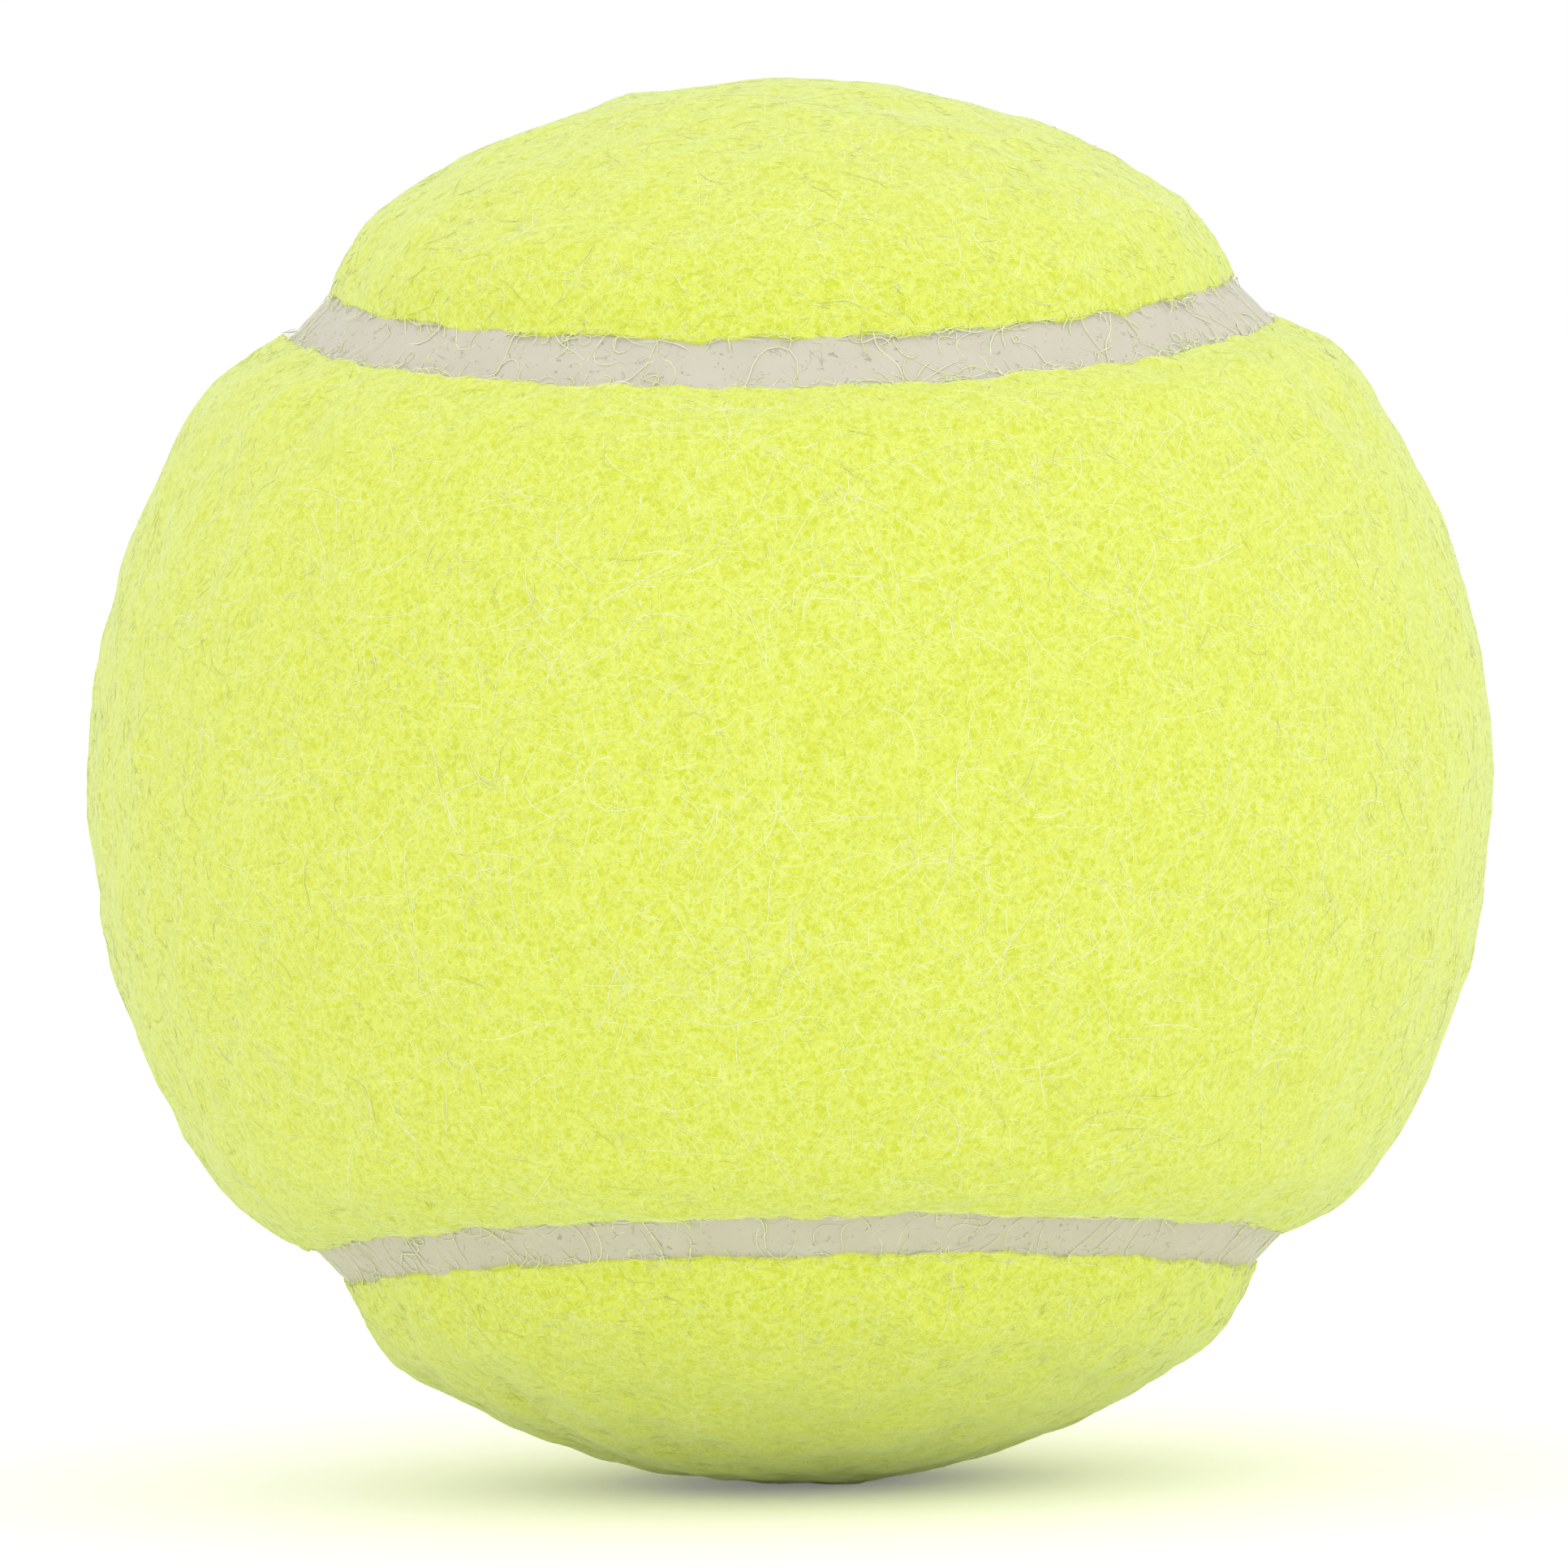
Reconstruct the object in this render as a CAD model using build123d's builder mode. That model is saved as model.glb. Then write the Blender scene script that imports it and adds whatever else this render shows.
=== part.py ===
from build123d import *

import os
from math import asin, cos, pi, sin, sqrt

# Tennis ball: two rubber half shells bonded into a hollow core, with two felt panels cemented round it.
# The ball's centre is the origin and +Z is up. The waist of the front panel faces -Y and its two lobes
# wrap round to +X and -X. The back panel is the same blank with its waist at +Y and its lobes over the
# top and the bottom. The panels meet along one closed seam of rubber.

# Driving dimensions, in millimetres
ball_diameter = 67.0
felt_thickness = 3.2
felt_edge_radius = 2.4
seam_width = 3.2
seam_recess = 1.8
cement_thickness = 0.15
core_wall = 3.3
bond_thickness = 0.2
rim_bevel = 0.6
cut_overrun = 1.0

# Course of the seam, as shares of the radius: half the waist's width, and how much the waist's sides are
# straightened. The seam is drawn through this many points.
waist_share = 0.627
straight_share = 0.027
seam_points = 28

# Radii of the layers, from the outside in
ball_radius = ball_diameter / 2
seam_radius = ball_radius - seam_recess
cover_seat_radius = ball_radius - felt_thickness
core_radius = cover_seat_radius - cement_thickness
bore_radius = core_radius - core_wall

# Both panels are one blank, turned half way round the line midway between the X and Z axes
blank_turn = Axis((0, 0, 0), (1, 0, 1))


def seam_direction(turn):
    """Point of the seam's centre line on a sphere of radius 1, as turn goes once round from 0 to 2 pi.

    A large circle and a small one that runs back three times as fast are added, and a slight one
    that runs on five times as fast is taken off to straighten the waists. The height along the
    Y axis keeps the sum on the sphere. The two waists face -Y and +Y.
    """
    small = (1 - waist_share) / 2 + straight_share
    large = 1 + straight_share - small
    u = large * cos(turn) + small * cos(3 * turn) - straight_share * cos(5 * turn)
    v = large * sin(turn) - small * sin(3 * turn) - straight_share * sin(5 * turn)
    crest = large * (small - straight_share) - 4 * small * straight_share * cos(2 * turn) ** 2
    height = 2 * sqrt(crest) * sin(2 * turn)
    return Vector((u - v) / sqrt(2), -height, (u + v) / sqrt(2))


def panel_edge_direction(turn):
    """Point of the front panel's cut edge on a sphere of radius 1, half a seam's width off the centre line."""
    step = pi / seam_points**2
    on_seam = seam_direction(turn)
    along = seam_direction(turn + step) - seam_direction(turn - step)
    towards_panel = on_seam.cross(along).normalized()
    half_angle = asin(seam_width / 2 / seam_radius)
    return on_seam * cos(half_angle) + towards_panel * sin(half_angle)


def panel_edge_line(radius):
    """The front panel's closed cut edge on a sphere of the given radius."""
    turns = [2 * pi * i / seam_points for i in range(seam_points)]
    with BuildLine() as line:
        Spline([panel_edge_direction(turn) * radius for turn in turns], periodic=True)
    return line.edge()


def layer_section(inner_radius, outer_radius):
    """Half ring between two radii, to be revolved about Z into one layer of the ball."""
    with BuildSketch(Plane.YZ) as section:
        with BuildLine():
            outer = CenterArc((0, 0), outer_radius, -90, 180)
            inner = CenterArc((0, 0), inner_radius, -90, 180)
            Line(outer @ 0, inner @ 0)
            Line(outer @ 1, inner @ 1)
        make_face()
    return section.sketch


# The cut edges of the panels run straight towards the centre of the ball
front_cut = Face.make_surface_from_curves(
    panel_edge_line(cover_seat_radius - cut_overrun),
    panel_edge_line(ball_radius + cut_overrun),
)
back_cut = front_cut.rotate(blank_turn, 180)

# Rubber core: two moulded half shells, bevelled inside the rim and butted together
with BuildPart() as core_half_upper:
    add(layer_section(bore_radius, core_radius))
    revolve(axis=Axis.Z)
    split(bisect_by=Plane.XY.offset(bond_thickness / 2), keep=Keep.TOP)
    rim = core_half_upper.faces().filter_by(GeomType.PLANE).sort_by(Axis.Z)[0]
    chamfer(rim.inner_wires().edges(), rim_bevel)
core_half_upper.part.label = "core_half_upper"

with BuildPart() as core_half_lower:
    add(core_half_upper.part.rotate(Axis.X, 180))
core_half_lower.part.label = "core_half_lower"

# Cured cement between the two rims, with the bead that was squeezed into the bevels
with BuildPart() as core_bond_ring:
    add(layer_section(bore_radius, core_radius))
    revolve(axis=Axis.Z)
    add(core_half_upper.part, mode=Mode.SUBTRACT)
    add(core_half_lower.part, mode=Mode.SUBTRACT)
core_bond_ring.part.label = "core_bond_ring"

# Film of rubber cement over the whole core, which the panels and the seam are cured to
with BuildPart() as cover_cement:
    add(layer_section(core_radius, cover_seat_radius))
    revolve(axis=Axis.Z)
cover_cement.part.label = "cover_cement"

# Felt panels: dumbbell blanks of napped cloth, with the nap rounded over at the cut edge
with BuildPart() as felt_cover:
    add(layer_section(cover_seat_radius, ball_radius))
    revolve(axis=Axis.Z)
    split(bisect_by=front_cut, keep=Keep.ALL)

with BuildPart() as felt_panel_front:
    add(felt_cover.solids().sort_by(Axis.Y)[0])
    cut_edges = felt_panel_front.edges().filter_by(lambda edge: edge.is_closed)
    fillet(cut_edges.sort_by(SortBy.LENGTH)[-1], felt_edge_radius)
felt_panel_front.part.label = "felt_panel_front"

with BuildPart() as felt_panel_back:
    add(felt_panel_front.part.rotate(blank_turn, 180))
felt_panel_back.part.label = "felt_panel_back"

# Seam: rubber that cured in the gap between the panels, lower than their nap
with BuildPart() as seam_layer:
    add(layer_section(cover_seat_radius, seam_radius))
    revolve(axis=Axis.Z)
    split(bisect_by=front_cut, keep=Keep.ALL)
    split(bisect_by=back_cut, keep=Keep.ALL)

with BuildPart() as seam_rubber:
    add(seam_layer.solids().sort_by(SortBy.AREA)[0])
seam_rubber.part.label = "seam_rubber"

os.makedirs("parts", exist_ok=True)
for piece in (
    core_half_upper,
    core_half_lower,
    core_bond_ring,
    cover_cement,
    felt_panel_front,
    felt_panel_back,
    seam_rubber,
):
    export_step(piece.part, f"parts/{piece.part.label}.step")
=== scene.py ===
import math

import bmesh
import bpy
import numpy as np
from mathutils import Matrix, Vector


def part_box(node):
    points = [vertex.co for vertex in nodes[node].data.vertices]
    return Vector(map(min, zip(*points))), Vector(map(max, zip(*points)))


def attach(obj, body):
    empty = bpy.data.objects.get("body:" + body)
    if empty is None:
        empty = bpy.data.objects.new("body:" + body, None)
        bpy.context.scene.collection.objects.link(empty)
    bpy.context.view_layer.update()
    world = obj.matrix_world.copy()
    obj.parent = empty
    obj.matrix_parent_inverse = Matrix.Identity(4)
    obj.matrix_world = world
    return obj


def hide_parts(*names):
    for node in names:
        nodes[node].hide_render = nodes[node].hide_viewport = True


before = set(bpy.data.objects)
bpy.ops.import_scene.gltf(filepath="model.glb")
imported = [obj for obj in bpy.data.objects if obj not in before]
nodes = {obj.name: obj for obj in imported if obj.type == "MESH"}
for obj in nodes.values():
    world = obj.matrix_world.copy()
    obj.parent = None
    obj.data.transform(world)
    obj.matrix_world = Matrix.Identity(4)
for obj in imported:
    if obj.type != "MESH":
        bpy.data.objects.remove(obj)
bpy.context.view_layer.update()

mm = 0.001

# Core halves: two half shells of natural rubber, filled with clay and carbon black and moulded under heat.
# They are buffed outside so that cement holds, and their bevelled rims are butted together.


def linear(code):
    """Linear colour of an sRGB hex code, by the sRGB curve for each channel, with alpha 1."""
    shares = [int(code[i : i + 2], 16) / 255 for i in (1, 3, 5)]
    return [s / 12.92 if s <= 0.04045 else ((s + 0.055) / 1.055) ** 2.4 for s in shares] + [1.0]


def with_empty_tree(block):
    """A material or world with its node tree in use and emptied."""
    block.use_nodes = True
    block.node_tree.nodes.clear()
    return block


def add_node(block, kind, inputs, **settings):
    """Adds a node to a material or world.

    Each input gets a value, or a link where it is given another node's output.
    """
    node = block.node_tree.nodes.new("ShaderNode" + kind)
    for name, value in settings.items():
        setattr(node, name, value)
    for name, value in inputs.items():
        if isinstance(value, bpy.types.NodeSocket):
            block.node_tree.links.new(value, node.inputs[name])
        else:
            node.inputs[name].default_value = value
    return node


def per_metre(size):
    """Scale of a pattern whose features are about this size, in metres."""
    return 1 / size


def wear(node, material):
    """Gives a CAD node one material in place of the one it was packed with."""
    nodes[node].data.materials.clear()
    nodes[node].data.materials.append(material)


# Buffed black rubber: matt, with the scratched grain that the buffing wheel leaves
core_rubber = with_empty_tree(bpy.data.materials.new("buffed_core_rubber"))
place = add_node(core_rubber, "TexCoord", {}).outputs["Object"]
grain = add_node(core_rubber, "TexNoise", {"Vector": place, "Scale": per_metre(0.5 * mm), "Detail": 4.0})
clouds = add_node(core_rubber, "TexNoise", {"Vector": place, "Scale": per_metre(9 * mm), "Detail": 2.0})
tint = add_node(
    core_rubber,
    "Mix",
    {0: clouds.outputs["Fac"], 6: linear("#3A342F"), 7: linear("#5B524A")},
    data_type="RGBA",
)
scratch = add_node(
    core_rubber,
    "Bump",
    {"Strength": 0.35, "Distance": 0.1 * mm, "Height": grain.outputs["Fac"]},
)
surface = add_node(
    core_rubber,
    "BsdfPrincipled",
    {"Base Color": tint.outputs[2], "Roughness": 0.85, "IOR": 1.52, "Normal": scratch.outputs["Normal"]},
)
add_node(core_rubber, "OutputMaterial", {"Surface": surface.outputs["BSDF"]})
wear("core_half_upper", core_rubber)
wear("core_half_lower", core_rubber)

# Bond ring and cover cement: rubber dissolved in solvent, spread or sprayed on and cured with the ball.
# One ring joins the half shells' rims, and one thin film over the core holds the panels and the seam.

# Cured rubber cement: amber and a little shiny, with brush marks and thick spots
cement = with_empty_tree(bpy.data.materials.new("cured_rubber_cement"))
place = add_node(cement, "TexCoord", {}).outputs["Object"]
runs = add_node(
    cement,
    "TexNoise",
    {"Vector": place, "Scale": per_metre(4 * mm), "Detail": 3.0, "Distortion": 0.8},
)
tint = add_node(
    cement,
    "Mix",
    {0: runs.outputs["Fac"], 6: linear("#B99B66"), 7: linear("#D9C594")},
    data_type="RGBA",
)
ripple = add_node(cement, "Bump", {"Strength": 0.3, "Distance": 0.05 * mm, "Height": runs.outputs["Fac"]})
surface = add_node(
    cement,
    "BsdfPrincipled",
    {"Base Color": tint.outputs[2], "Roughness": 0.4, "IOR": 1.52, "Normal": ripple.outputs["Normal"]},
)
add_node(cement, "OutputMaterial", {"Surface": surface.outputs["BSDF"]})
wear("core_bond_ring", cement)
wear("cover_cement", cement)

# Felt panels: two dumbbell blanks of needled wool and nylon felt, dyed a fluorescent yellow-green.
# They are stretched round the core and cured to its cement, with their cut edges on each side of the seam.
ball_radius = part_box("felt_panel_front")[1].x
seat_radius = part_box("cover_cement")[1].x
seam_points = np.empty(len(nodes["seam_rubber"].data.vertices) * 3)
nodes["seam_rubber"].data.vertices.foreach_get("co", seam_points)
seam_radius = np.linalg.norm(seam_points.reshape(-1, 3), axis=1).max()
seam_width = 3.2 * mm
half_seam = math.asin(seam_width / 2 / seam_radius)
waist_share = 0.627
straight_share = 0.027
small_turn = 1e-4
seam_marks = 240
slide_steps = 3
wave_count = 48
felt_sink = 0.06 * mm
felt_lumps = ((0.07 * mm, 6.0 * mm), (0.04 * mm, 2.6 * mm), (0.012 * mm, 1.1 * mm))
felt_seeds = {1: 10, -1: 20}
edge_depth = 1.45 * mm
edge_reach = 4.6 * mm
edge_power = 1.7
edge_spread = 0.26 * mm
spread_slope = 0.6
least_spread = 0.1 * edge_spread
edge_waves = ((0.26, 3.4 * mm), (0.16, 1.3 * mm), (0.08, 0.7 * mm))
edge_seeds = {1: 15, -1: 25}
lobe_reach = math.radians(46)
panel_rows = 880
panel_columns = 90
seat_columns = 6
edge_crowding = 0.8
spine_gap = 0.0005 * mm
half_flat_uv = 0.49
under_uv = 0.08
top_uv = 0.9
top_uv_start = 1.2 * under_uv


def seam_line(turn):
    """Point of the seam's centre line on the unit sphere, as turn goes once round from 0 to 2 pi.

    A large circle and a small one that runs back three times as fast are added, and a slight one that
    runs on five times as fast is taken off to straighten the waists. The height along Y keeps the
    sum on the sphere. The front panel's waist faces -Y.
    """
    small = (1 - waist_share) / 2 + straight_share
    large = 1 + straight_share - small
    u = large * np.cos(turn) + small * np.cos(3 * turn) - straight_share * np.cos(5 * turn)
    v = large * np.sin(turn) - small * np.sin(3 * turn) - straight_share * np.sin(5 * turn)
    crest = large * (small - straight_share) - 4 * small * straight_share * np.cos(2 * turn) ** 2
    height = 2 * np.sqrt(crest) * np.sin(2 * turn)
    return np.stack([(u - v) / 2**0.5, -height, (u + v) / 2**0.5], axis=-1)


def seam_rate(turn):
    """How fast the seam's centre line runs on with turn, by its change over a small turn each way."""
    return (seam_line(turn + small_turn) - seam_line(turn - small_turn)) / (2 * small_turn)


def beside_seam(turn, angle):
    """Point on the unit sphere at an angle beside the seam's centre line, on the front panel's side."""
    here = seam_line(turn)
    across = np.cross(here, seam_rate(turn))
    across /= np.linalg.norm(across, axis=-1, keepdims=True)
    angle = np.asarray(angle)[..., None]
    return here * np.cos(angle) + across * np.sin(angle)


def seam_angle(points):
    """Angle from the seam's centre line to points on the unit sphere, positive on the front panel.

    The nearest of many marks along the seam is slid along it to the foot of the perpendicular, in a few
    steps. The sine of the angle is the part of the point that lies across the seam there.
    """
    marks = np.linspace(0, 2 * np.pi, seam_marks, endpoint=False)
    turn = marks[np.argmax(points @ seam_line(marks).T, axis=-1)]
    for _ in range(slide_steps):
        along = seam_rate(turn)
        turn = turn + ((points - seam_line(turn)) * along).sum(axis=-1) / (along**2).sum(axis=-1)
    across = beside_seam(turn, np.full_like(turn, np.pi / 2))
    return np.arcsin((points * across).sum(axis=-1).clip(-1, 1))


def waves(points, size, seed):
    """Smooth random relief with a spread of about 1, the sum of plane waves of one length in random ways."""
    rng = np.random.default_rng(seed)
    ways = rng.normal(size=(wave_count, 3))
    ways *= 2 * np.pi / size / np.linalg.norm(ways, axis=1, keepdims=True)
    phases = rng.uniform(0, 2 * np.pi, wave_count)
    return np.sin(points @ ways.T + phases).sum(axis=-1) * (2 / wave_count) ** 0.5


def layered_waves(points, layers, seed):
    """Sum of waves in layers of a strength and a size each, with seeds that count up from the first."""
    return sum(strength * waves(points, size, seed + n) for n, (strength, size) in enumerate(layers))


def edge_spread_at(points, side):
    """How far the felt's cut edge has spread over the rubber near points on the unit sphere.

    It is more at the bottom of the ball than at the top, and uneven in waves of three sizes.
    """
    uneven = layered_waves(points * ball_radius, edge_waves, edge_seeds[side])
    return np.maximum(edge_spread * (1 - spread_slope * points[..., 2] + uneven), least_spread)


def felt_radius(points, side):
    """Radius of the felt's outer surface in the directions of points, which are on the unit sphere.

    The full radius falls off to the cut edge with a power of the way there, and lumps of matted
    fibre of three sizes are added. side is 1 on the front panel and -1 on the back panel.
    """
    from_edge = (side * seam_angle(points) - half_seam) * ball_radius + edge_spread_at(points, side)
    from_edge = np.clip(from_edge, 0, edge_reach)
    fall = edge_depth * (1 - from_edge / edge_reach) ** edge_power
    lumps = layered_waves(points * ball_radius, felt_lumps, felt_seeds[side])
    return ball_radius - felt_sink - fall + lumps


def on_floor(points):
    """Points with those that would go below the floor pressed up to it, as the ball's weight does."""
    pressed = points.copy()
    pressed[..., 2] = np.maximum(pressed[..., 2], -ball_radius)
    return pressed


def half_turned(points):
    """Points turned half round the line midway between X and Z, which lays the front blank on the back."""
    return points[..., [2, 1, 0]] * np.array([1, -1, 1])


def new_piece(name, points, corners, starts, places, material):
    """A smooth mesh from points, the corners of its faces and where each face starts among the corners.

    places is its UV map, with a place for each corner.
    """
    mesh = bpy.data.meshes.new(name)
    mesh.vertices.add(len(points))
    mesh.vertices.foreach_set("co", points.ravel())
    mesh.loops.add(len(corners))
    mesh.loops.foreach_set("vertex_index", corners)
    mesh.polygons.add(len(starts))
    mesh.polygons.foreach_set("loop_start", starts)
    mesh.polygons.foreach_set("use_smooth", np.ones(len(starts), bool))
    mesh.update(calc_edges=True)
    mesh.uv_layers.new(name="OFBake").data.foreach_set("uv", places.ravel())
    mesh.materials.append(material)
    piece = bpy.data.objects.new(name, mesh)
    bpy.context.scene.collection.objects.link(piece)
    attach(piece, "root")
    return piece


def close_spine(piece):
    """Merges the points that meet along a panel's spine, so that the mesh is closed there."""
    shape = bmesh.new()
    shape.from_mesh(piece.data)
    bmesh.ops.remove_doubles(shape, verts=shape.verts, dist=spine_gap)
    shape.to_mesh(piece.data)
    shape.free()


def grid_faces(rows, columns, close_rows, close_columns):
    """Quads of a grid of points and their places in the unit square, each way closed round or left open."""
    i, j = np.meshgrid(
        np.arange(rows if close_rows else rows - 1),
        np.arange(columns if close_columns else columns - 1),
        indexing="ij",
    )
    i, j = i.ravel(), j.ravel()
    corner_i = np.stack([i, i + 1, i + 1, i], axis=-1)
    corner_j = np.stack([j, j, j + 1, j + 1], axis=-1)
    quads = corner_i % rows * columns + corner_j % columns
    share_i = corner_i / (rows if close_rows else rows - 1)
    share_j = corner_j / (columns if close_columns else columns - 1)
    return quads, np.stack([share_i, share_j], axis=-1)


def felt_panel(name, side, material):
    """A felt panel as a closed mesh: rows run round its cut edge, and columns to the edge and back.

    The spine is the blank's middle line, from the middle of one lobe to the middle of the other. A row
    starts on the spine at the cement, goes out to its own place on the edge, which spreads unevenly
    over the rubber, and comes back to the spine on top, closer together near the edge. On the UV map
    the outer face lies by longitude and latitude, above a strip for the underside.
    """
    turn = np.linspace(-np.pi / 4, 7 * np.pi / 4, panel_rows, endpoint=False)
    near = beside_seam(turn, half_seam - edge_spread / seam_radius)
    spread = edge_spread_at(near if side > 0 else half_turned(near), side)
    edge = beside_seam(turn, half_seam - spread / seam_radius)
    longitude = np.arctan2(near[:, 0], -near[:, 1])
    spine_end = longitude.max() - lobe_reach
    on_spine = np.clip(longitude, -spine_end, spine_end)
    spine = np.stack([np.sin(on_spine), -np.cos(on_spine), np.zeros(panel_rows)], axis=-1)
    inward = np.linspace(0, 1, panel_columns)
    back_in = inward * (1 - edge_crowding * (1 - inward))
    share = np.concatenate([np.linspace(1, 0, seat_columns), back_in])[:, None]
    blank = edge[:, None] * (1 - share) + spine[:, None] * share
    blank /= np.linalg.norm(blank, axis=-1, keepdims=True)
    laid = blank if side > 0 else half_turned(blank)
    radius = np.full(laid.shape[:2], seat_radius)
    radius[:, seat_columns:] = felt_radius(laid[:, seat_columns:], side)
    quads, places = grid_faces(panel_rows, panel_columns + seat_columns, True, False)
    flat = np.stack([np.arctan2(blank[..., 0], -blank[..., 1]), np.arcsin(blank[..., 2])], axis=-1)
    flat = (0.5 + half_flat_uv * flat / np.abs(flat).max(axis=(0, 1))).reshape(-1, 2)
    on_top = (quads % (panel_columns + seat_columns)).min(axis=1) >= seat_columns
    places[..., 1] *= under_uv
    places[on_top] = flat[quads[on_top]] * np.array([1, top_uv]) + np.array([0, top_uv_start])
    points = on_floor(laid * radius[..., None]).reshape(-1, 3)
    starts = np.arange(0, quads.size, 4)
    piece = new_piece(name, points, quads.ravel(), starts, places, material)
    close_spine(piece)
    return piece


# Needled felt: matt and fibrous, paler where fibres lie on top, and a deeper yellow in the pits between
# them, which is painted shade: the ground darkens where the relief is low.
# Its strands are drawn coarser than single fibres, so that they show. They follow the lines where a noise
# has its middle value, and noise_slope is about how much that noise changes over one spacing.
strand_width = 0.04 * mm
strand_spacings = (0.95 * mm, 0.8 * mm, 0.68 * mm, 0.57 * mm, 0.48 * mm)
strand_strength = 0.75
noise_slope = 0.3
layer_step = 3.7
felt = with_empty_tree(bpy.data.materials.new("needled_felt"))
place = add_node(felt, "TexCoord", {}).outputs["Object"]
pits = add_node(
    felt,
    "TexNoise",
    {"Vector": place, "Scale": per_metre(0.36 * mm), "Detail": 2.0, "Roughness": 0.6},
)
# One pit value sets both the relief's depth and the painted shade of the ground.
pit_depth_and_shade = add_node(felt, "MapRange", {"Value": pits.outputs["Fac"], "From Min": 0.36, "From Max": 0.6})
strands = 0.0
for layer, spacing in enumerate(strand_spacings):
    field = add_node(
        felt,
        "TexNoise",
        {
            "Vector": place,
            "W": layer_step * layer,
            "Scale": per_metre(spacing),
            "Detail": 1.0,
            "Distortion": 0.4,
        },
        noise_dimensions="4D",
    )
    off_line = add_node(felt, "Math", {0: field.outputs["Fac"], 1: 0.5}, operation="SUBTRACT")
    distance = add_node(felt, "Math", {0: off_line.outputs[0]}, operation="ABSOLUTE")
    strand = add_node(
        felt,
        "MapRange",
        {
            "Value": distance.outputs[0],
            "From Min": 0.0,
            "From Max": noise_slope * strand_width / spacing,
            "To Min": 1.0,
            "To Max": 0.0,
        },
    )
    strands = add_node(felt, "Math", {0: strands, 1: strand.outputs[0]}, operation="MAXIMUM").outputs[0]
# Painted shade: the ground goes to a deeper, darker yellow where the pit noise is low, which is also where
# the relief is lowest.
ground_with_pit_shade = add_node(
    felt,
    "Mix",
    {0: pit_depth_and_shade.outputs[0], 6: linear("#D5E13A"), 7: linear("#E5EF5C")},
    data_type="RGBA",
)
threads = add_node(felt, "Math", {0: strands, 1: strand_strength}, operation="MULTIPLY")
tint = add_node(
    felt,
    "Mix",
    {0: threads.outputs[0], 6: ground_with_pit_shade.outputs[2], 7: linear("#F1FC92")},
    data_type="RGBA",
)
height = add_node(felt, "Math", {0: pit_depth_and_shade.outputs[0], 1: strands}, operation="ADD")
relief = add_node(felt, "Bump", {"Strength": 0.15, "Distance": 0.08 * mm, "Height": height.outputs[0]})
surface = add_node(
    felt,
    "BsdfPrincipled",
    {
        "Base Color": tint.outputs[2],
        "Roughness": 0.95,
        "IOR": 1.45,
        "Specular IOR Level": 0.2,
        "Sheen Weight": 0.7,
        "Sheen Roughness": 0.5,
        "Sheen Tint": linear("#EEFCD6"),
        "Normal": relief.outputs["Normal"],
    },
)
add_node(felt, "OutputMaterial", {"Surface": surface.outputs["BSDF"]})
wear("felt_panel_front", felt)
wear("felt_panel_back", felt)

front_felt = felt_panel("front_felt", 1, felt)
back_felt = felt_panel("back_felt", -1, felt)
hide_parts("felt_panel_front")
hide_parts("felt_panel_back")

# Seam band: rubber that was painted on the panels' edges and ran together in the mould.
# It fills the gap between the panels, lies lower than their nap and climbs a little up both edges.
seam_steps = 900
seam_columns = 25
seam_seat_columns = 5
seam_rise = 0.12 * mm
seam_climb = 0.08 * mm
seam_ripples = ((0.020 * mm, 2.5 * mm), (0.012 * mm, 0.9 * mm))
ripple_seed = 31


def rubber_radius(across):
    """Radius of the rubber's top at a share of its half width, with the fourth power of that share added."""
    return seam_radius + seam_rise + seam_climb * np.abs(across) ** 4


def seam_band(name, material):
    """The seam as a closed loop: a section with a hollowed top is carried round the seam's centre line.

    The top has ripples of two sizes, and the section comes back along the cement.
    """
    turn = np.linspace(0, 2 * np.pi, seam_steps, endpoint=False)[:, None]
    across = np.concatenate([np.linspace(-1, 1, seam_columns), np.linspace(1, -1, seam_seat_columns)])
    points = beside_seam(turn, half_seam * across)
    ripples = layered_waves(points * seam_radius, seam_ripples, ripple_seed)
    radius = np.full(points.shape[:2], seat_radius)
    top = slice(0, seam_columns)
    radius[:, top] = rubber_radius(across[top]) + ripples[:, top]
    quads, places = grid_faces(seam_steps, seam_columns + seam_seat_columns, True, True)
    points = (points * radius[..., None]).reshape(-1, 3)
    starts = np.arange(0, quads.size, 4)
    return new_piece(name, points, quads.ravel(), starts, places, material)


# Cured seam rubber: pale grey-beige and matt, mottled, with dark specks of dust and short fine scratches
seam_rubber = with_empty_tree(bpy.data.materials.new("cured_seam_rubber"))
place = add_node(seam_rubber, "TexCoord", {}).outputs["Object"]
mottle = add_node(seam_rubber, "TexNoise", {"Vector": place, "Scale": per_metre(2.2 * mm), "Detail": 4.0})
specks = add_node(
    seam_rubber,
    "TexNoise",
    {"Vector": place, "Scale": per_metre(0.28 * mm), "Detail": 1.0, "Distortion": 0.8},
)
speck = add_node(
    seam_rubber,
    "MapRange",
    {"Value": specks.outputs["Fac"], "From Min": 0.67, "From Max": 0.73, "To Min": 0.0, "To Max": 0.5},
)
trails = add_node(
    seam_rubber,
    "TexNoise",
    {"Vector": place, "Scale": per_metre(1.6 * mm), "Detail": 2.0, "Distortion": 1.0},
)
off_trail = add_node(seam_rubber, "Math", {0: trails.outputs["Fac"], 1: 0.5}, operation="SUBTRACT")
from_trail = add_node(seam_rubber, "Math", {0: off_trail.outputs[0]}, operation="ABSOLUTE")
trail = add_node(
    seam_rubber,
    "MapRange",
    {"Value": from_trail.outputs[0], "From Min": 0.0, "From Max": 0.014, "To Min": 0.45, "To Max": 0.0},
)
breaks = add_node(seam_rubber, "TexNoise", {"Vector": place, "Scale": per_metre(0.9 * mm), "Detail": 1.0})
broken = add_node(
    seam_rubber,
    "MapRange",
    {"Value": breaks.outputs["Fac"], "From Min": 0.5, "From Max": 0.62},
)
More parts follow.
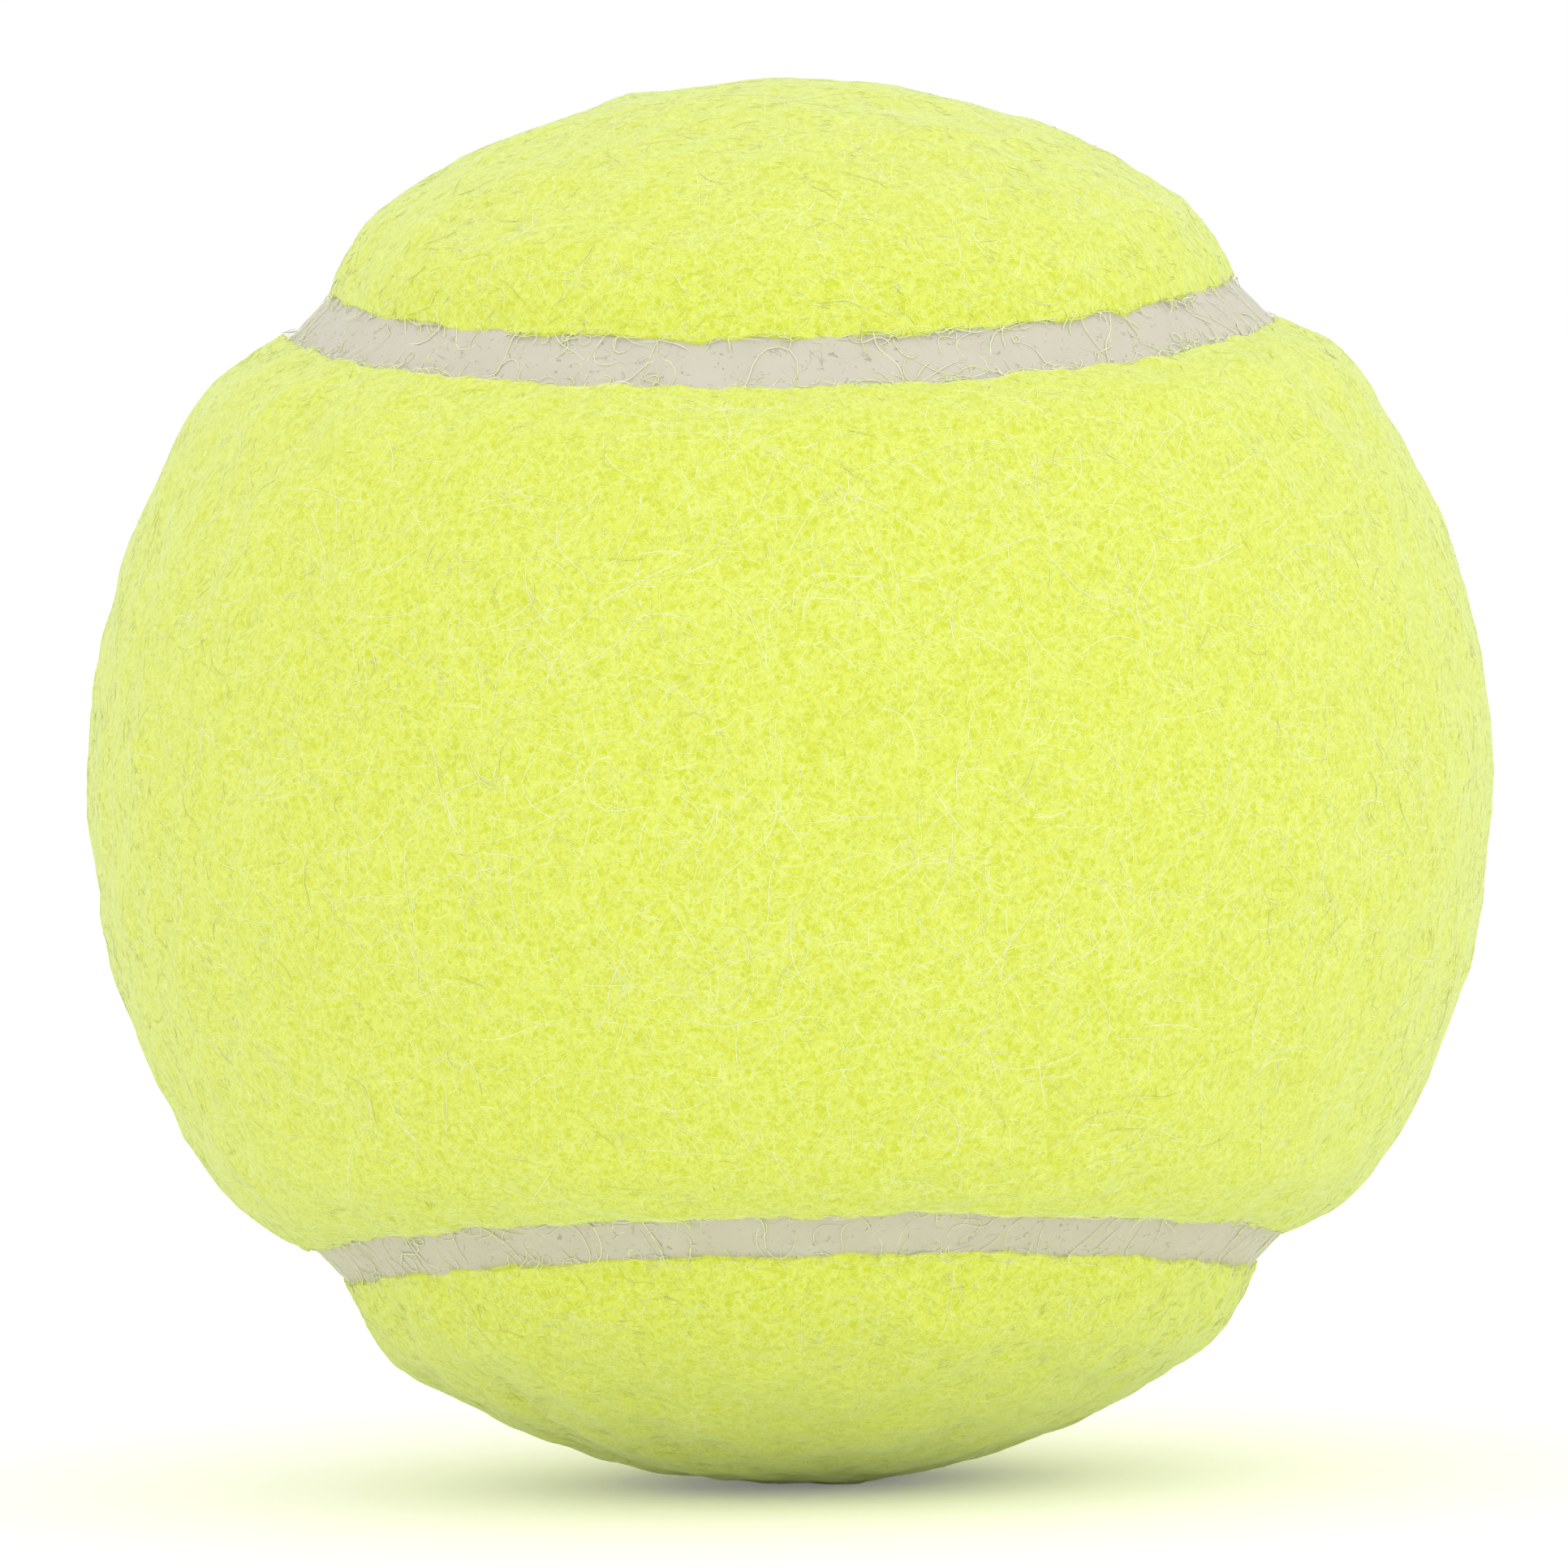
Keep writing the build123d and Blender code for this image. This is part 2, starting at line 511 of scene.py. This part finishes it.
scratches = add_node(seam_rubber, "Math", {0: trail.outputs[0], 1: broken.outputs[0]}, operation="MULTIPLY")
marks = add_node(seam_rubber, "Math", {0: speck.outputs[0], 1: scratches.outputs[0]}, operation="MAXIMUM")
body = add_node(
    seam_rubber,
    "Mix",
    {0: mottle.outputs["Fac"], 6: linear("#CEC9B4"), 7: linear("#DAD5C3")},
    data_type="RGBA",
)
tint = add_node(
    seam_rubber,
    "Mix",
    {0: marks.outputs[0], 6: body.outputs[2], 7: linear("#8F8264")},
    data_type="RGBA",
)
dents = add_node(
    seam_rubber,
    "Bump",
    {"Strength": 0.25, "Distance": 0.05 * mm, "Height": mottle.outputs["Fac"]},
)
surface = add_node(
    seam_rubber,
    "BsdfPrincipled",
    {"Base Color": tint.outputs[2], "Roughness": 0.55, "IOR": 1.52, "Normal": dents.outputs["Normal"]},
)
add_node(seam_rubber, "OutputMaterial", {"Surface": surface.outputs["BSDF"]})
wear("seam_rubber", seam_rubber)
seam_piece = seam_band("seam_band", seam_rubber)
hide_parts("seam_rubber")

# Nap: fibres of wool and nylon that were teased out of the felt and matted over it, lying every way.
# Most have both ends in the mat, and longer pale hairs lie on top.
# They are drawn up to twice as thick as real ones, so that they show.
root_tries = 104000
nap_count = 27300
nap_pieces = 5
fibre_points = 6
fibre_length = 3.0 * mm
fibre_crests = (0.002 * mm, 0.009 * mm)
fibre_thickness = 0.038 * mm
fibre_thickness_shares = (0.7, 1.25)
mean_tone = 0.5
tone_scatter = 0.22
loose_share = 0.006
loose_tips = (0.04 * mm, 0.2 * mm)
over_edge = 0.5 * mm
over_share = 0.12
hair_count = 1300
hair_points = 13
hair_length = 7.0 * mm
hair_crests = (0.004 * mm, 0.015 * mm)
hair_thickness_shares = (0.8, 1.3)
hair_tones = (0.75, 1.0)
length_shares = (0.5, 1.4)
bend_scatter = 1.6
wave_scatter = 0.45
waves_along = (0.5, 1.1)
end_depth = 0.012 * mm
fibre_sides = 3
fibre_flatness = 0.2
taper_power = 0.4
own_shading = 0.2
tone_change = 0.25
tile_margin = 0.1
root_seed = 100
nap_seed = 200
hair_seed = 300


def fibre_paths(roots, side, seed, number, length, crests, loose):
    """Points along fibres laid on the felt about their roots, and how far each reaches past the cut edge.

    A fibre sets out in a random direction, with a bend and a wave along its length. The steps are added
    up in the plane that touches the ball, and laid on the felt at a height that rises from inside the
    mat to a crest. Both ends are in the mat, apart from the tips of the loose share.
    """
    rng = np.random.default_rng(seed)
    count = len(roots)
    first = np.cross(roots, rng.normal(size=(count, 3)))
    first /= np.linalg.norm(first, axis=1, keepdims=True)
    second = np.cross(roots, first)
    along = np.linspace(0, 1, number)
    bend = rng.normal(0, bend_scatter, (count, 1)) * (along - 0.5)
    phase = rng.uniform(*waves_along, (count, 1)) * along + rng.random((count, 1))
    heading = bend + rng.normal(0, wave_scatter, (count, 1)) * np.sin(2 * np.pi * phase)
    step = length * rng.uniform(*length_shares, (count, 1)) / (number - 1)
    x = np.cumsum(np.cos(heading) * step, axis=1)
    y = np.cumsum(np.sin(heading) * step, axis=1)
    x -= x.mean(axis=1, keepdims=True)
    y -= y.mean(axis=1, keepdims=True)
    laid = roots[:, None] * ball_radius + x[..., None] * first[:, None] + y[..., None] * second[:, None]
    outward = laid / np.linalg.norm(laid, axis=-1, keepdims=True)
    crest = rng.uniform(*crests, (count, 1)) + end_depth / 2
    tip = np.where(rng.random((count, 1)) < loose, rng.uniform(*loose_tips, (count, 1)), -end_depth)
    height = -end_depth * (1 - along) + tip * along**2 + crest * np.sin(np.pi * along)
    radius = felt_radius(outward, side) + height
    past_edge = (half_seam - (side * seam_angle(outward)).min(axis=1)) * seam_radius
    return on_floor(outward * radius[..., None]), past_edge


def fibre_mesh(name, paths, thickness, tone, material):
    """Fibres as closed tubes that taper to a point at both ends, with their tone as an attribute.

    A tube's shading leans to the felt's own outward direction, because light soaks through fine fibres.
    On the UV map each fibre has a tile of its own.
    """
    count, number = paths.shape[:2]
    outward = paths / np.linalg.norm(paths, axis=-1, keepdims=True)
    along = np.gradient(paths, axis=1)
    beside = np.cross(along, outward)
    beside /= np.linalg.norm(beside, axis=-1, keepdims=True)
    upward = np.cross(beside, along)
    upward /= np.linalg.norm(upward, axis=-1, keepdims=True)
    taper = np.sin(np.pi * np.linspace(0, 1, number)[1:-1]) ** taper_power
    size = thickness[:, None, None] / 2 * taper[None, :, None]
    round_tube = (np.arange(fibre_sides) * 2 * np.pi / fibre_sides)[:, None]
    way = fibre_flatness * np.cos(round_tube) * upward[:, 1:-1, None]
    way = way + np.sin(round_tube) * beside[:, 1:-1, None]
    rings = (paths[:, 1:-1, None] + size[:, :, None] * way).reshape(count, -1, 3)
    points = np.concatenate([paths[:, :1], rings, paths[:, -1:]], axis=1)
    lean = (outward[:, 1:-1, None] + own_shading * way).reshape(count, -1, 3)
    lean = np.concatenate([outward[:, :1], lean, outward[:, -1:]], axis=1)
    lean /= np.linalg.norm(lean, axis=-1, keepdims=True)
    per_fibre = points.shape[1]
    last = per_fibre - 1
    sides = [(k, (k + 1) % fibre_sides) for k in range(fibre_sides)]
    fans = [[0, 1 + b, 1 + a] for a, b in sides]
    fans += [[last, last - fibre_sides + a, last - fibre_sides + b] for a, b in sides]
    ring_starts = 1 + fibre_sides * np.arange(number - 3)
    walls = [[r + a, r + b, r + fibre_sides + b, r + fibre_sides + a] for r in ring_starts for a, b in sides]
    fans, walls = np.ravel(fans), np.ravel(walls)
    corners = np.concatenate([fans, walls])
    starts = np.concatenate([np.arange(0, fans.size, 3), fans.size + np.arange(0, walls.size, 4)])
    level = np.repeat(np.arange(1, number - 1), fibre_sides)
    level = np.concatenate([[0], level, [number - 1]]) / (number - 1)
    turn = np.tile(np.linspace(tile_margin, 1 - tile_margin, fibre_sides), number - 2)
    turn = np.concatenate([[0.5], turn, [0.5]])
    tiles = math.ceil(math.sqrt(count))
    tile = np.stack([np.arange(count) % tiles, np.arange(count) // tiles], axis=-1)[:, None]
    inside = tile_margin + (1 - 2 * tile_margin) * np.stack([level, turn], axis=-1)[corners][None]
    piece = new_piece(
        name,
        points.reshape(-1, 3),
        (corners[None] + per_fibre * np.arange(count)[:, None]).ravel(),
        (starts[None] + corners.size * np.arange(count)[:, None]).ravel(),
        (tile + inside) / tiles,
        material,
    )
    piece.data.normals_split_custom_set_from_vertices(lean.reshape(-1, 3))
    shade = tone[:, None] + tone_change * (level[None] - 0.5)
    piece.data.attributes.new("tone", "FLOAT", "POINT").data.foreach_set("value", shade.ravel())
    return piece


# Dyed fibre: matt, each fibre its own shade from deep yellow to a pale lemon
fibre = with_empty_tree(bpy.data.materials.new("dyed_fibre"))
own_tone = add_node(fibre, "Attribute", {}, attribute_name="tone")
ramp = add_node(fibre, "ValToRGB", {"Fac": own_tone.outputs["Fac"]})
ramp.color_ramp.elements[0].color = linear("#E2EC58")
ramp.color_ramp.elements[1].color = linear("#FBFFD2")
ramp.color_ramp.elements.new(mean_tone).color = linear("#F2FD8E")
surface = add_node(
    fibre,
    "BsdfPrincipled",
    {"Base Color": ramp.outputs["Color"], "Roughness": 0.8, "IOR": 1.45, "Specular IOR Level": 0.0},
)
add_node(fibre, "OutputMaterial", {"Surface": surface.outputs["BSDF"]})

nap_of = {1: [], -1: []}
for side, word in ((1, "front"), (-1, "back")):
    rng = np.random.default_rng(root_seed + side)
    roots = rng.normal(size=(root_tries, 3))
    roots /= np.linalg.norm(roots, axis=1, keepdims=True)
    roots = roots[side * seam_angle(roots) > half_seam - edge_spread / seam_radius][:nap_count]
    lengthwise = roots[:, 0] if side > 0 else roots[:, 2]
    roots = roots[np.argsort(lengthwise)]
    for n, share in enumerate(np.array_split(roots, nap_pieces), start=1):
        seed = nap_seed + 10 * n + side
        paths, past_edge = fibre_paths(
            share, side, seed, fibre_points, fibre_length, fibre_crests, loose_share
        )
        paths = paths[(past_edge < over_edge) | (rng.random(len(share)) < over_share)]
        thickness = fibre_thickness * rng.uniform(*fibre_thickness_shares, len(paths))
        tone = np.clip(rng.normal(mean_tone, tone_scatter, len(paths)), 0, 1)
        nap_of[side].append(fibre_mesh(f"{word}_nap_{n}", paths, thickness, tone, fibre))
    share = rng.permutation(roots)[:hair_count]
    seed = hair_seed + side
    paths, past_edge = fibre_paths(share, side, seed, hair_points, hair_length, hair_crests, 0.0)
    paths = paths[past_edge < over_edge]
    thickness = fibre_thickness * rng.uniform(*hair_thickness_shares, len(paths))
    tone = rng.uniform(*hair_tones, len(paths))
    nap_of[side].append(fibre_mesh(f"{word}_hairs", paths, thickness, tone, fibre))

# Fringe and stray fibres: hairs that came loose where the blanks were cut, the short ones along the edges
# and the long ones in loops over the seam. Each has an end in a panel, and the mould pressed it down.
fringe_count = 1900
fringe_points = 9
fringe_length = 2.0 * mm
fringe_thickness = 0.044 * mm
fringe_starts = (0.7, 1.05)
fringe_slants = (1.0, 2.0)
fringe_tones = (0.6, 1.0)
stray_count = 130
stray_points = 15
stray_length = 7.0 * mm
stray_thickness = 0.052 * mm
stray_starts = (1.0, 1.2)
stray_slants = (0.0, 1.3)
stray_tones = (0.85, 1.0)
edge_thickness_shares = (0.7, 1.2)
edge_length_shares = (0.35, 1.3)
edge_bend_scatter = 2.2
edge_wave_scatter = 1.0
edge_waves_along = (0.4, 1.4)
edge_limit = 1.3
climb_width = 1.5 * edge_spread
climb_start = 1.8
above_rubber = 0.006 * mm
edge_lifts = (0.01 * mm, 0.06 * mm)
edge_sink = 0.1 * mm
look_seed = 77
stray_seed = 78
fringe_seed = 79


def edge_fibre_paths(count, number, length, starts, slants, seed):
    """Points along fibres at the seam, each in a curling path from one edge of the rubber.

    The start, from the middle of the rubber, is a share of its half width. The heading, from straight
    across the seam, is a random slant plus a bend and a wave. Steps along and across the seam are
    added up, and the path climbs from the rubber on to the felt at either edge and sinks into it.
    """
    rng = np.random.default_rng(seed)
    turn = rng.uniform(0, 2 * np.pi, (count, 1))
    side = rng.choice([-1.0, 1.0], (count, 1))
    along = np.linspace(0, 1, number)
    phase = rng.uniform(*edge_waves_along, (count, 1)) * along + rng.random((count, 1))
    heading = (
        rng.choice([-1.0, 1.0], (count, 1)) * rng.uniform(*slants, (count, 1))
        + rng.normal(0, edge_bend_scatter, (count, 1)) * along
        + rng.normal(0, edge_wave_scatter, (count, 1)) * np.sin(2 * np.pi * phase)
    )
    step = length * rng.uniform(*edge_length_shares, (count, 1)) / (number - 1)
    reach = half_seam * seam_radius
    run = np.cumsum(np.sin(heading) * step, axis=1)
    inward = np.cumsum(np.cos(heading) * step, axis=1) / reach
    over = edge_limit * np.tanh(rng.uniform(*starts, (count, 1)) - inward) * reach
    speed = np.linalg.norm(seam_rate(turn), axis=-1)
    outward = beside_seam(turn + run / seam_radius / speed, side * over / seam_radius)
    on_felt = np.where(side * over > 0, felt_radius(outward, 1), felt_radius(outward, -1))
    on_rubber = rubber_radius(np.minimum(np.abs(over) / reach, 1))
    climb = np.clip((np.abs(over) - reach) / climb_width + climb_start, 0, 1)
    lift = rng.uniform(*edge_lifts, (count, 1)) * np.sin(np.pi * along) * (1 - climb)
    sink = edge_sink * np.clip((np.abs(over) - reach) / edge_spread, 0, 1)
    radius = on_rubber + climb * (on_felt - on_rubber) + above_rubber + lift - sink
    return on_floor(outward * radius[..., None])


rng = np.random.default_rng(look_seed)
fringe = fibre_mesh(
    "seam_fringe",
    edge_fibre_paths(fringe_count, fringe_points, fringe_length, fringe_starts, fringe_slants, fringe_seed),
    fringe_thickness * rng.uniform(*edge_thickness_shares, fringe_count),
    rng.uniform(*fringe_tones, fringe_count),
    fibre,
)
strays = fibre_mesh(
    "seam_strays",
    edge_fibre_paths(stray_count, stray_points, stray_length, stray_starts, stray_slants, stray_seed),
    stray_thickness * rng.uniform(*edge_thickness_shares, stray_count),
    rng.uniform(*stray_tones, stray_count),
    fibre,
)
nap_of[1] += [fringe, strays]

# Stage: a plain white floor under an even white sky, with one soft distant lamp in front, above and to the
# right. The camera looks at the front panel's waist from a little above and is turned a little on its axis.
floor_reach = 60.0
floor_glow = 0.18
sky_level = 0.95
lamp_energy = 0.38
lamp_angle = math.radians(80)
lamp_from = (0.45, -0.8, 0.55)
white = (1.0, 1.0, 1.0, 1.0)
picture_side = 1932
ball_in_picture = (974, 962)
ball_radius_in_picture = 866
camera_distance = 0.6
camera_above = math.radians(2.02)
camera_aside = math.radians(0.59)
camera_roll = math.radians(1.16)


def seen_directly(block):
    """1 for camera rays and for mirrored or transmitted ones, and 0 for light that falls on things."""
    path = add_node(block, "LightPath", {})
    seen = 0.0
    for kind in ("Is Camera Ray", "Is Glossy Ray", "Is Transmission Ray"):
        seen = add_node(block, "Math", {0: seen, 1: path.outputs[kind]}, operation="MAXIMUM").outputs[0]
    return seen


floor_mesh = bpy.data.meshes.new("floor")
floor_mesh.from_pydata(
    [(x * floor_reach, y * floor_reach, -ball_radius) for x, y in ((-1, -1), (1, -1), (1, 1), (-1, 1))],
    [],
    [(0, 1, 2, 3)],
)
floor = bpy.data.objects.new("floor", floor_mesh)
bpy.context.scene.collection.objects.link(floor)

# White paper: matt, and lit up a little where it is seen, so that it joins the sky
paper = with_empty_tree(bpy.data.materials.new("white_paper"))
whitening = add_node(paper, "Math", {0: seen_directly(paper), 1: floor_glow}, operation="MULTIPLY")
matt = add_node(paper, "BsdfDiffuse", {"Color": linear("#FDFDFD")})
glow = add_node(paper, "Emission", {"Color": white, "Strength": whitening.outputs[0]})
surface = add_node(paper, "AddShader", {0: matt.outputs[0], 1: glow.outputs[0]})
add_node(paper, "OutputMaterial", {"Surface": surface.outputs[0]})
floor_mesh.materials.append(paper)

world = with_empty_tree(bpy.data.worlds.new("studio"))
bpy.context.scene.world = world
level = add_node(world, "MapRange", {"Value": seen_directly(world), "To Min": sky_level, "To Max": 1.0})
sky = add_node(world, "Background", {"Color": white, "Strength": level.outputs[0]})
add_node(world, "OutputWorld", {"Surface": sky.outputs["Background"]})

lamp = bpy.data.lights.new("soft_lamp", "SUN")
lamp.energy = lamp_energy
lamp.angle = lamp_angle
lamp_object = bpy.data.objects.new("soft_lamp", lamp)
lamp_object.rotation_euler = Vector(lamp_from).to_track_quat("Z", "Y").to_euler()
bpy.context.scene.collection.objects.link(lamp_object)

camera = bpy.data.cameras.new("camera")
camera.sensor_width = 36.0
focal_pixels = ball_radius_in_picture / math.tan(math.asin(ball_radius / camera_distance))
camera.lens = focal_pixels / picture_side * camera.sensor_width
camera.clip_start = 0.05
camera.clip_end = 200.0
pixel = camera_distance / focal_pixels
offset = Vector(
    (
        (picture_side / 2 - ball_in_picture[0]) * pixel,
        (ball_in_picture[1] - picture_side / 2) * pixel,
        camera_distance,
    )
)
turned = (
    Matrix.Rotation(camera_aside, 4, "Z")
    @ Matrix.Rotation(math.pi / 2 - camera_above, 4, "X")
    @ Matrix.Rotation(-camera_roll, 4, "Z")
)
camera_object = bpy.data.objects.new("camera", camera)
camera_object.matrix_world = turned @ Matrix.Translation(offset)
bpy.context.scene.collection.objects.link(camera_object)
bpy.context.scene.camera = camera_object
bpy.context.scene.view_settings.view_transform = "Standard"
